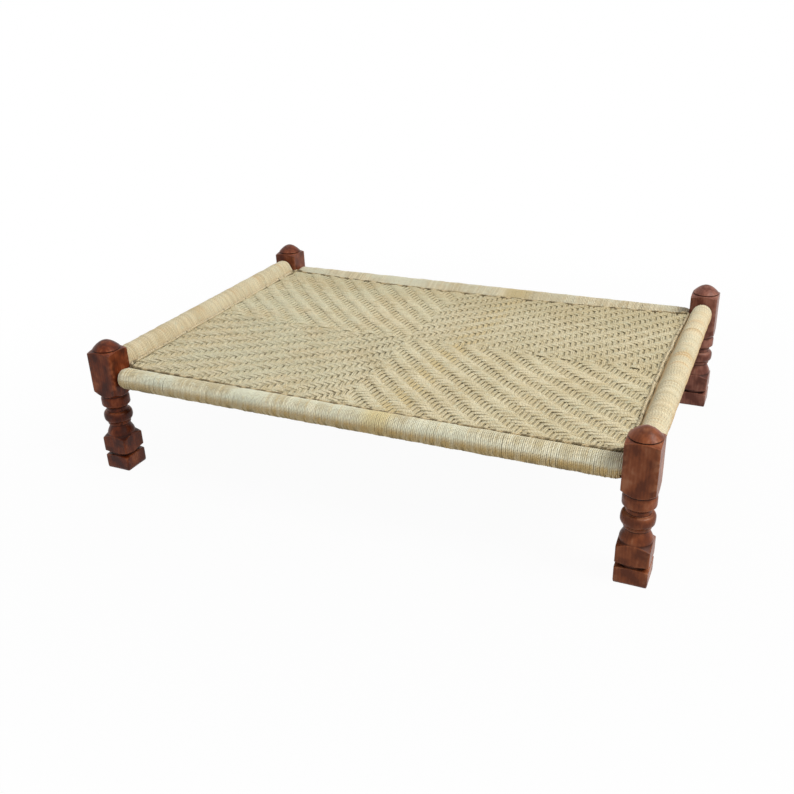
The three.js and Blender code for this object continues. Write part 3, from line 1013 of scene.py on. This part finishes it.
    def make(self, edge: Edge, material: Material) -> Piece:
        """Winds the cord.

        Args:
            edge: the border's line, to which the turns reach.
            material: the cord's finish.

        Returns:
            The piece.
        """
        centre, size = middle_and_half(self.node)
        way = self.side.way
        run, off = way.value, way.other.value
        half = size[run]
        rng = np.random.default_rng(20 + self.side)
        length, place, reach = self.meridian(half, size[2])
        turns = int(round(length[-1] / self.pack))
        turn = np.arange(turns * self.steps + 1) / self.steps
        whole = turn.astype(int)
        on, away = (np.interp(turn / turns * length[-1], length, line) for line in (place, reach))
        marks = np.arange(turns + 2)
        fade = np.clip((half - np.abs(on)) / self.calm, 0, 1)
        uneven = np.interp(turn, marks, rng.normal(0, 1, turns + 2)) * self.uneven
        away = away + fade * (uneven + wander(on, rng, 0.08) * self.swell - self.press)
        border = edge.far(self.side, on) + self.beyond[run]
        across = centre[off] * self.side.sign - border
        rise = edge.top(*way.plan(on, border)) - self.tuck[run] - centre[2]
        angle, toward, distance = self.band(turn, away, across, rise)
        sway = np.interp(turn, marks, rng.normal(0, 1, turns + 2)) * self.sway
        on = on + fade * (sway + wander(on, rng, 0.30) * self.slant * np.sin(angle - toward))
        radial = np.zeros((len(turn), 3))
        radial[:, off], radial[:, 2] = np.cos(angle), np.sin(angle)
        path = centre + radial * distance[:, None]
        path[:, run] = on + centre[run]
        tangent = unit(np.gradient(path, axis=0))
        out = np.cross(tangent, np.eye(3)[run])
        out = unit(out * np.sign((out * radial).sum(axis=1, keepdims=True)))
        each = rng.uniform(-1, 1, turns + 2)[whole]
        thick = self.cord / 2 * (1 + 0.06 * each)
        looks = self.looks(on, np.sin(angle), half, whole, each, rng)
        shape = tubes(path[None], out[None], np.cross(out, tangent)[None], thick, thick * 1.06, self.sides, looks)
        return shape.make(self.node + "_turns", self.node, "wrap_cord", material)


@dataclass
class Strand:
    """How the cords of one direction lie in the web.

    Args:
        way: the direction that they run in.
        pitch: distance from one pair to the next.
        pair: distance between the two cords of a pair.
        thick: a cord's thickness.
        wide: a cord's width where it lies on top, and where it lies below.
        lift: how far it rises over the web's middle on top, and sinks below.
        flat: how flat its floats are on top; the sides between them are the steeper.
        tone: how dark its cords are, on the mean.
        give: how much softer its floats are where the web is loose.
        narrow: how much narrower they are there.
    """

    way: Way
    pitch: float
    pair: float
    thick: float
    wide: tuple[float, float]
    lift: tuple[float, float]
    flat: float
    tone: float
    give: float
    narrow: float


@dataclass(frozen=True)
class Quarter:
    """How the ribs of the twill run in one quarter of the web.

    Args:
        along: steps of the twill for each metre from the middle along the bed.
        along_more: how much that grows, for each metre.
        across: steps for each metre from the middle across the bed.
        across_more: how much that grows, for each metre.
        start: steps at the middle.
        end: the step at which its floats end on the near side.
        dusk: how dark the painted shade is there.
    """

    along: float
    along_more: float
    across: float
    across_more: float
    start: float
    end: float
    dusk: float


@dataclass
class Web:
    """The woven web: pairs of cords along and across the bed, in a twill that turns round at the pattern's middle.

    A pair across the bed lies over a pair along it where (steps from the middle along the bed, less steps from the
    middle across it) leave from -0.5 to 2.5 when divided by 6, and under it elsewhere. That makes ribs of floats that
    run outwards in nested chevrons. By hand the ribs come out a little differently in each quarter of the web.

    Args:
        edge: the border's line, where the web ends.
        long, cross: the cords along the bed and across it.
        middle: where the pattern turns round, in plan.
        quarters: its ribs at the front left, front right, back left and back right.
        repeat: steps after which it repeats.
        lean: how far a cord leans sideways between its floats.
        stray: how far whole stretches of cords are shifted.
        loose_lift, loose_flat: how much lower and how much less flat the floats are where the web is loose.
        drop: how far the web's middle lies below its top.
        astray, wobble, bulge: how far each cord lies off its place, and wavers sideways and in height.
        rim, dip: length over which a cord dives under the border at its ends, and how deep.
        inner, sunk: thickness of the flat dark cords inside the web, which stand in for the shade in its slits, and
            how far they lie below its middle.
        margin: how far the outermost cords lie inside the border.
        beyond: how far the cords along and across the bed go on past it.
        samples, sides, parts: points from one crossing to the next, corners of a cord, and pieces for each layer.
        seed: the start of the random numbers.
        mixed: how unlike in tone the cords are.
        gold: a stretch of yellower cords across the bed, which goes on in the long wraps: its middle along the bed,
            how much that grows for each metre across the bed, half its width, and its strength.
    """

    edge: Edge
    long: Strand = field(default_factory=lambda: Strand(
        Way.ALONG, 0.0145, 0.00725, 0.0050, (0.0090, 0.0090), (0.0032, 0.0030), 2.6, 0.24, 0.8, 0.07))
    cross: Strand = field(default_factory=lambda: Strand(
        Way.ACROSS, 0.016, 0.0055, 0.0050, (0.0066, 0.0048), (0.0016, 0.0030), 2.0, 0.72, 0.3, 0.0))
    middle: tuple[float, float] = (-0.040, -0.016)
    quarters: tuple[Quarter, ...] = (
        Quarter(66.8, -16.3, 74.9, 0.0, 4.0, 2.1, 1.35),
        Quarter(70.4, -11.6, 69.0, 0.0, 1.0, 2.1, 0.5),
        Quarter(68.3, -2.4, 74.9, -21.9, -0.2, 5.0, 0.2),
        Quarter(66.4, 9.8, 68.4, 0.0, 1.4, 5.4, 0.35),
    )
    repeat: int = 6
    lean: float = 0.0024
    stray: float = 0.0035
    loose_lift: float = 0.5
    loose_flat: float = 1.5
    drop: float = 0.0014
    astray: float = 0.0005
    wobble: float = 0.0007
    bulge: float = 0.0006
    rim: float = 0.012
    dip: float = 0.0030
    inner: float = 0.0014
    sunk: float = 0.0027
    margin: float = 0.004
    beyond: tuple[float, float] = (0.011, 0.005)
    samples: int = 3
    sides: int = 6
    parts: int = 4
    seed: int = 11
    mixed: float = 0.18
    gold: tuple[float, float, float, float] = (0.148, 0.045, 0.048, 0.6)

    def drift(self, way: Way, x: Array, y: Array) -> Array:
        """How far the cords of one direction are shifted sideways at a place: a few slow waves over the web.

        Args:
            way: the direction that they run in.
            x, y: the places.

        Returns:
            The shifts.
        """
        rng = np.random.default_rng(self.seed + 1 + way.value)
        total = np.zeros(np.broadcast(x, y).shape)
        for _ in range(5):
            turn, length, start = rng.uniform(0, np.pi), rng.uniform(0.25, 0.8), rng.uniform(0, 2 * np.pi)
            total = total + np.sin(2 * np.pi * (x * np.cos(turn) + y * np.sin(turn)) / length + start)
        return total / 3.0 * self.stray

    def ribs(self, x: Array, y: Array) -> tuple[Array, Array, Array]:
        """The twill at a place. Its steps grow with the distance from the middle along the bed and fall with that
        across it, each with a small square term.

        Args:
            x, y: the places.

        Returns:
            The steps, how many of them lie past the near end of a float, and how dark it is there.
        """
        number = 2 * (y > self.middle[1]) + (x > self.middle[0])
        far, deep = np.abs(x - self.middle[0]), np.abs(y - self.middle[1])
        along, more, across, and_more, start, end, dusk = np.array([astuple(q) for q in self.quarters]).T[:, number]
        steps = along * far + more * far ** 2 - across * deep - and_more * deep ** 2 + start
        return steps, steps - end, dusk

    def floats(self, steps: Array, flat: Array) -> Array:
        """From 1 over to -1 under: a cosine of the steps, pressed flat at its tops and steep between them."""
        wave = np.cos(2 * np.pi * (steps - 1) / self.repeat)
        return np.tanh(flat * wave) / np.tanh(flat)

    def looseness(self, x: Array, y: Array) -> tuple[Array, Array]:
        """How loosely the cords lie at a place.

        Args:
            x, y: the places.

        Returns:
            Numbers from 0 to 1, for the front left alone, and with the stretch by the front right leg.
        """
        left = np.clip((-x - 0.02) / 0.30, 0, 1) * np.clip((0.08 - y) / 0.12, 0.15, 1)
        corner = np.clip((x - 0.42) / 0.25, 0, 1) * np.clip((-y - 0.10) / 0.25, 0, 1)
        left, share = left * left * (3 - 2 * left), np.maximum(left, corner)
        return left, share * share * (3 - 2 * share)

    def span(self, way: Way, place: Array) -> tuple[Array, Array]:
        """Where the cords of one direction start and end.

        Args:
            way: the direction.
            place: where they lie, square to it.

        Returns:
            The lower and the upper ends.
        """
        first, last = (side for side in Side if side.way is way.other)
        past = self.beyond[way.value]
        return -self.edge.far(first, place) - past, self.edge.far(last, place) + past

    def lay(self, strand: Strand, rng: Random) -> tuple[Array, Array, dict[str, Array]]:
        """All cords of one direction.

        Args:
            strand: how they lie.
            rng: the source of their random numbers.

        Returns:
            Paths, cords by points by 3, and for each point the cord's half width and what its finish reads.
        """
        way = strand.way
        reach, start = self.edge.reach[way.other.value] - self.margin, self.middle[way.other.value]
        first, last = math.ceil((-reach - start) / strand.pitch), math.floor((reach - start) / strand.pitch)
        order = np.repeat(np.arange(first, last + 1), 2)[:, None]
        centre = start + order * strand.pitch
        place = centre + rng.normal(0, self.astray, order.shape)
        place = place + np.tile([[-0.5], [0.5]], (len(order) // 2, 1)) * strand.pair
        low, high = self.span(way, place)
        crossing = self.long if way is Way.ACROSS else self.cross
        along = low + (high - low) * np.linspace(0, 1, int((high - low).max() / crossing.pitch * self.samples))
        spot = way.plan(along, place)
        crossed = along - self.drift(way.other, *spot)
        steps, past, dusk = self.ribs(*way.plan(crossed, centre))
        left, slack = self.looseness(*spot)
        soft = left * strand.give
        flat = strand.flat + (self.loose_flat - strand.flat) * slack
        over = self.floats(steps, flat) * (1 if way is Way.ACROSS else -1)
        slant = np.sin(2 * np.pi * (steps - 1) / self.repeat) * np.sign(order)
        rim = np.clip(np.minimum(along - low, high - along) / self.rim, 0, 1)
        wobble = np.stack([wander(line, rng, 0.12) for line in along])
        sideways = place + rim * (slant * self.lean + wobble * self.wobble + self.drift(way, *spot))
        x, y = way.plan(along, sideways)
        bulge = np.stack([wander(line, rng, 0.045) for line in along])
        lift = np.where(over > 0, *strand.lift) * over * (1 - self.loose_lift * soft)
        height = self.edge.top(x, y) - self.drop + rim * (lift + bulge * self.bulge) - (1 - rim) * self.dip
        share = np.clip(0.5 + 0.5 * over, 0, 1)
        wide = strand.wide[1] + (strand.wide[0] - strand.wide[1]) * share
        wide = wide * (1 + 0.04 * wobble + 0.06 * bulge) * (1 - strand.narrow * slack * share) / 2
        column = ((place if way is Way.ACROSS else crossed) - self.middle[0]) / self.cross.pitch
        tone = strand.tone + rng.normal(0, self.mixed, order.shape)
        looks = self.tones(x, y, share, 1 - 0.8 * soft, tone, wobble, bulge)
        # Painted shade at the near ends of the floats, stronger in some quarters than in others
        looks |= {"Step": past, "Column": column, "Dusk": dusk * np.clip(0.8 + 0.5 * bulge, 0.05, 1.2)}
        return np.stack([x, y, height], axis=-1), wide, looks

    def tones(self, x: Array, y: Array, share: Array, tight: Array, tone: Array, wobble: Array,
              bulge: Array) -> dict[str, Array]:
        """How dark cords are: each by itself, in slow waves along it, and more so at the back and on the right.
        Painted shade darkens their low stretches and the flanks of single floats.

        Args:
            x, y: their places.
            share: 1 where a cord lies on top and 0 where it lies below.
            tight: how tightly it is woven.
            tone: how dark each cord is.
            wobble, bulge: slow random lines along it.

        Returns:
            The tone and the depth of the painted shade, by name.
        """
        mottle = bulge * (0.24 + 0.3 * np.clip(0.5 - x / 0.8, 0, 1))
        tone = tone + wobble * 0.15 + mottle
        tone = tone + 0.75 * np.clip((y - 0.26) / 0.22, 0, 1) + 0.2 * np.clip(x / 0.3, 0, 1)
        # Painted shade on the flanks of single floats, and on the stretches that lie below
        flank = np.exp(-((share - 0.42) / 0.26) ** 2) * np.clip(0.15 + 0.35 * bulge, 0, 1) * tight
        return {"Tone": tone, "PaintedShade": np.clip(np.maximum(flank, 0.46 * (1 - share) * tight), 0, 1)}

    def line(self) -> tuple[Array, Array, dict[str, float]]:
        """Flat straight dark cords along the bed within the web, which close the slits between the others: painted
        shade seen through the slits.

        Returns:
            The same as for the other cords.
        """
        reach = self.edge.reach[1] - self.margin
        place = np.arange(-reach, reach, self.long.pair)[:, None]
        low, high = self.span(Way.ALONG, place)
        along = low + (high - low) * np.linspace(0, 1, 60)
        sideways = place + self.drift(Way.ALONG, along, place)
        height = self.edge.top(along, sideways) - self.drop - self.sunk
        wide = np.full(along.shape, self.long.pair * 0.51)
        # Painted shade: these cords are dark so that the slits look shaded
        looks = {"Tone": 0.6, "PaintedShade": 0.7, "Step": 0.0, "Column": 0.0, "Dusk": 0.0}
        return np.stack([along, sideways, height], axis=-1), wide, looks

    def make(self, material: Material) -> list[Piece]:
        """Lays all cords.

        Args:
            material: their finish.

        Returns:
            The pieces, a few for each layer of cords.
        """
        made = []
        rng = np.random.default_rng(self.seed)
        middle, slant, width, strength = self.gold
        for strand, name, thickness, (paths, wide, looks) in (
            (self.long, "web_long_cords", self.long.thick, self.lay(self.long, rng)),
            (self.cross, "web_cross_cords", self.cross.thick, self.lay(self.cross, rng)),
            (self.long, "web_shade_cords", self.inner, self.line()),
        ):
            x, y = paths[..., 0], paths[..., 1]
            gold = np.exp(-(((x - middle - slant * y) / width) ** 4)) * strength
            green = 0.15 + 0.32 * np.clip(0.2 - x / 0.6, 0, 1)
            looks |= {"Sun": gold * strand.way.value, "Stain": 0.0, "Cool": green}
            looks = {label: np.broadcast_to(numbers, wide.shape) for label, numbers in looks.items()}
            tangent = unit(np.gradient(paths, axis=1))
            out = unit(np.cross(tangent, (0.0, 1.0, 0.0) if strand.way is Way.ALONG else (-1.0, 0.0, 0.0)))
            aside = np.cross(out, tangent)
            for part, picked in enumerate(np.array_split(np.arange(len(paths)), self.parts), 1):
                chosen = {label: numbers[picked] for label, numbers in looks.items()}
                lines = (lines[picked] for lines in (paths, out, aside))
                shape = tubes(*lines, thickness / 2, wide[picked], self.sides, chosen)
                made.append(shape.make(f"{name}_{part}", "woven_web", "web_cord", material))
        return made


@dataclass
class Border:
    """The border: two cords twined round each other along the web's edge, just inside the wraps.

    Args:
        edge: its line.
        cord: thickness of a cord.
        twine: length of one full turn of the two.
        lift, rise: how far its middle lies over the web, and how much more at the short sides.
        step: distance between its points.
        sides: corners of a cord.
    """

    edge: Edge
    cord: float = 0.0052
    twine: float = 0.022
    lift: float = 0.0014
    rise: float = 0.0052
    step: float = 0.0022
    sides: int = 8

    def make(self, material: Material) -> Piece:
        """Twines the two cords.

        Each is the middle line plus a small circle round it, turned once for each length of twine, half a turn apart.

        Args:
            material: their finish.

        Returns:
            The piece.
        """
        plan, on = self.edge.route(self.step)
        turns = round(on[-1] / self.twine)
        short = np.clip((np.abs(plan[:, 0]) - self.edge.reach[0] + 0.04) / 0.02, 0, 1)
        height = self.edge.top(plan[:, 0], plan[:, 1]) + self.lift + short * self.rise
        line = np.concatenate([plan, height[:, None]], axis=1)
        tangent = unit(np.gradient(line, axis=0))
        out = unit(np.cross(tangent, (0.0, 0.0, 1.0)))
        angle = 2 * np.pi * turns * on / on[-1] + np.array([[0.0], [np.pi]])
        radial = out * np.cos(angle)[..., None] + np.cross(out, tangent) * np.sin(angle)[..., None]
        paths = line + radial * self.cord * 0.48
        tangent = unit(np.gradient(paths, axis=1))
        aside = unit(np.cross(radial, tangent))
        rng = np.random.default_rng(5)
        # Painted light: the cords are paler on the short sides, where the wraps shade them
        tone = 0.6 + np.stack([wander(on, rng, 0.3) for _ in paths]) * 0.3 - 0.6 * short
        # Painted shade: dark along the long sides, and in spots along the short ones
        dark = np.clip((np.abs(plan[:, 1]) - self.edge.reach[1] + 0.05) / 0.02, 0, 1)
        spots = np.clip(wander(on, rng, 0.022) * 2.2 - 1.1, 0, 1) * 0.85
        under = np.maximum(dark * np.clip(0.62 + wander(on, rng, 0.035) * 1.3, 0.1, 1), (1 - dark) * spots)
        stain = np.clip(dark * 0.2 + 0.05 + wander(on, rng, 0.15) * 0.1, 0, 1)
        looks = {"Tone": tone, "Sun": 0.0, "Cool": 0.0, "Stain": stain, "PaintedShade": under}
        half = self.cord / 2
        shape = tubes(paths, np.cross(tangent, aside), aside, half, half, self.sides, looks)
        return shape.make("border_twine", "border_cord", "border_cord", material)


@dataclass
class Studio:
    """The pale floor, the soft lights and the camera.

    Args:
        place: where the camera stands.
        yaw, pitch, roll: how far it is turned to the right, tipped down and rolled.
        lens, sensor: its focal length and the width of its picture, in millimetres.
        size: half of the floor's side.
    """

    place: Triple = (1.148, -2.644, 1.506)
    yaw: float = math.radians(-25.27)
    pitch: float = math.radians(25.42)
    roll: float = math.radians(-2.13)
    lens: float = 40.34
    sensor: float = 36.0
    size: float = 14.0

    def camera(self) -> None:
        """Sets up the camera: it stands at place, turned by yaw, tipped down by pitch and then rolled."""
        data = bpy.data.cameras.new("camera")
        data.lens, data.sensor_width, data.clip_end = self.lens, self.sensor, 100.0
        camera = add_object("camera", data)
        turned = Matrix.Rotation(-self.yaw, 4, "Z") @ Matrix.Rotation(math.pi / 2 - self.pitch, 4, "X")
        camera.matrix_world = Matrix.Translation(self.place) @ turned @ Matrix.Rotation(self.roll, 4, "Z")
        bpy.context.scene.camera = camera

    def lamp(self, name: str, place: Triple, aim: Triple, size: float, power: float, colour: Colour) -> None:
        """Adds one soft square lamp.

        Args:
            name: its name.
            place, aim: where it hangs and what it is turned to.
            size, power: its side and its power in watts.
            colour: its colour.
        """
        data = bpy.data.lights.new(name, "AREA")
        data.shape, data.size, data.energy, data.color = "SQUARE", size, power, colour
        lamp = add_object(name, data)
        lamp.location = place
        lamp.rotation_euler = (Vector(aim) - Vector(place)).to_track_quat("-Z", "Y").to_euler()

    def pale(self, bench: Bench) -> Socket:
        """A number that tells the rays that only show the background.

        Args:
            bench: the bench of the material or world.

        Returns:
            1 for rays from the camera, and for those mirrored or passed on from it.
        """
        rays = bench.add("LightPath").outputs
        seen = bench.math("MAXIMUM", rays["Is Camera Ray"], rays["Is Glossy Ray"])
        return bench.math("MAXIMUM", seen, rays["Is Transmission Ray"])

    def floor(self) -> None:
        """Makes the floor, which turns plain white far from the bed."""
        mesh = bpy.data.meshes.new("floor")
        corners = [(x * self.size, y * self.size, 0) for x, y in ((-1, -1), (1, -1), (1, 1), (-1, 1))]
        mesh.from_pydata(corners, [], [(0, 1, 2, 3)])
        add_object("floor", mesh)
        material, bench = new_material("pale_floor")
        away = bench.add("VectorMath", {0: bench.add("TexCoord").outputs["Object"]}, operation="LENGTH").outputs[1]
        matt = bench.add("BsdfDiffuse", {"Color": (0.64, 0.64, 0.64)})
        glow = bench.add("Emission", {"Color": (1.0, 1.0, 1.0), "Strength": 1.0})
        share = bench.times(self.pale(bench), bench.ramp(away, 0.8, 2.6, 0.96, 1.0))
        both = bench.add("MixShader", {0: share, 1: matt.outputs[0], 2: glow.outputs[0]})
        bench.add("OutputMaterial", {"Surface": both.outputs[0]})
        mesh.materials.append(material)

    def world(self) -> None:
        """Makes the world: soft light on the bed, and white where the camera sees it."""
        world = bpy.data.worlds.new("studio")
        bpy.context.scene.world = world
        world.use_nodes = True
        bench = Bench(world.node_tree)
        soft = bench.add("Background", {"Color": (0.95, 0.97, 1.0), "Strength": 0.46})
        white = bench.add("Background", {"Color": (1.0, 1.0, 1.0), "Strength": 1.0})
        both = bench.add("MixShader", {0: self.pale(bench), 1: soft.outputs[0], 2: white.outputs[0]})
        bench.add("OutputWorld", {"Surface": both.outputs[0]})

    def build(self) -> None:
        """Makes the floor, the world, the lamps and the camera."""
        self.floor()
        self.world()
        self.lamp("key", (4.7, -0.6, 5.2), (0.0, 0.0, 0.3), 2.6, 282.0, (1.0, 0.98, 0.95))
        self.lamp("top", (-1.3, 0.5, 3.8), (-0.3, 0.0, 0.3), 3.0, 16.0, (0.97, 0.99, 1.0))
        self.camera()
        bpy.context.scene.view_settings.view_transform = "Standard"


def dress_rails(material: Material) -> None:
    """Gives the four poles inside the wraps their plain wood.

    Args:
        material: the wood.
    """
    for place in ("front", "back", "left", "right"):
        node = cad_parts[f"rail_{place}"]
        node.data.materials.clear()
        node.data.materials.append(material)


def main() -> None:
    """Builds every piece in order and reports it."""
    logging.basicConfig(level=logging.INFO, format="%(message)s")
    Studio().build()
    groups = Groups()
    wrap_cord, front_lit_cord, back_cord, web_cord, border_cord = (finish.make(groups) for finish in (
        CordFinish("wrap_cord", pale=(0.90, 0.79, 0.55), straw=(0.71, 0.59, 0.37),
                   yellow=(0.78, 0.63, 0.33), rust=(0.72, 0.46, 0.19)),
        # A paler and darker copy of the wrap cord for the front wrap, which faces away from the lamps: its pale
        # carries the painted light of its outer side
        CordFinish("wrap_cord_front_lit", pale=(0.97, 0.91, 0.68), straw=(0.61, 0.53, 0.335), green=(0.82, 0.82, 0.64),
                   yellow=(0.78, 0.66, 0.34), rust=(0.75, 0.535, 0.215)),
        CordFinish("wrap_cord_back", pale=(0.87, 0.78, 0.56), straw=(0.63, 0.54, 0.35), green=(0.75, 0.74, 0.57),
                   yellow=(0.62, 0.50, 0.25), rust=(0.62, 0.43, 0.19)),
        CordFinish("web_cord", pale=(0.83, 0.735, 0.50), straw=(0.645, 0.545, 0.325), green=(0.71, 0.715, 0.52),
                   shade_colour=(0.16, 0.13, 0.06), woven=True),
        CordFinish("border_cord"),
    ))
    pole_wood = HardwoodFinish("pole_wood", (0.2, 0.12, 0.06), (0.38, 0.25, 0.13), (0.5, 0.36, 0.2), shine=0.6)
    dress_rails(pole_wood.make(groups))
    made = []
    for seed, (node, colours) in enumerate(WOODS.items()):
        middle, _ = middle_and_half(node)
        wood = HardwoodFinish(f"{node}_wood", *colours, centre=(middle[0] + 0.03, middle[1] - 0.05)).make(groups)
        made.append(TurnedLeg(node, seed).make(wood))
    edge = Edge()
    for wrap, cord in (
        # The front wrap gets painted light on its outer side and painted shade under its turns
        (RailWrap("wrap_front", Side.FRONT, sun=(0.117, 0.052), stain=(0.7, 1.0), cool=(1.5, 0.4), tone=0.88,
                  painted_outer_light=1.0, rim=0.38, sharp=2.7, underside_shade=0.9), front_lit_cord),
        (RailWrap("wrap_back", Side.BACK, sun=(0.17, 0.055), stain=(0.4, 0.7), cool=(1.0, 0.6), tone=0.6), back_cord),
        (RailWrap("wrap_left", Side.LEFT, stain=(0.4, 0.4), cool=(0.15, 0.3), tone=0.5, marks=(
            (0.47, 0.012, 0.5), (0.3, 0.02, 0.4), (0.12, 0.008, 0.5), (-0.1, 0.02, 0.45), (-0.33, 0.014, 0.4),
        )), wrap_cord),
        # The right wrap gets painted shade under its turns
        (RailWrap("wrap_right", Side.RIGHT, stain=(0.85, 1.05), cool=(0.45, 0.35), tone=0.4, rim=0.45, underside_shade=0.5,
                  marks=((0.36, 0.012, 0.75), (0.27, 0.02, 0.45), (0.05, 0.016, 0.85), (-0.02, 0.01, 0.6))),
         wrap_cord),
    ):
        made.append(wrap.make(edge, cord))
    made += Web(edge).make(web_cord)
    made.append(Border(edge).make(border_cord))
    for piece in made:
        LOG.info("%s: %d points, %d faces", piece.name, len(piece.data.vertices), len(piece.data.polygons))


if __name__ == "__main__":
    main()
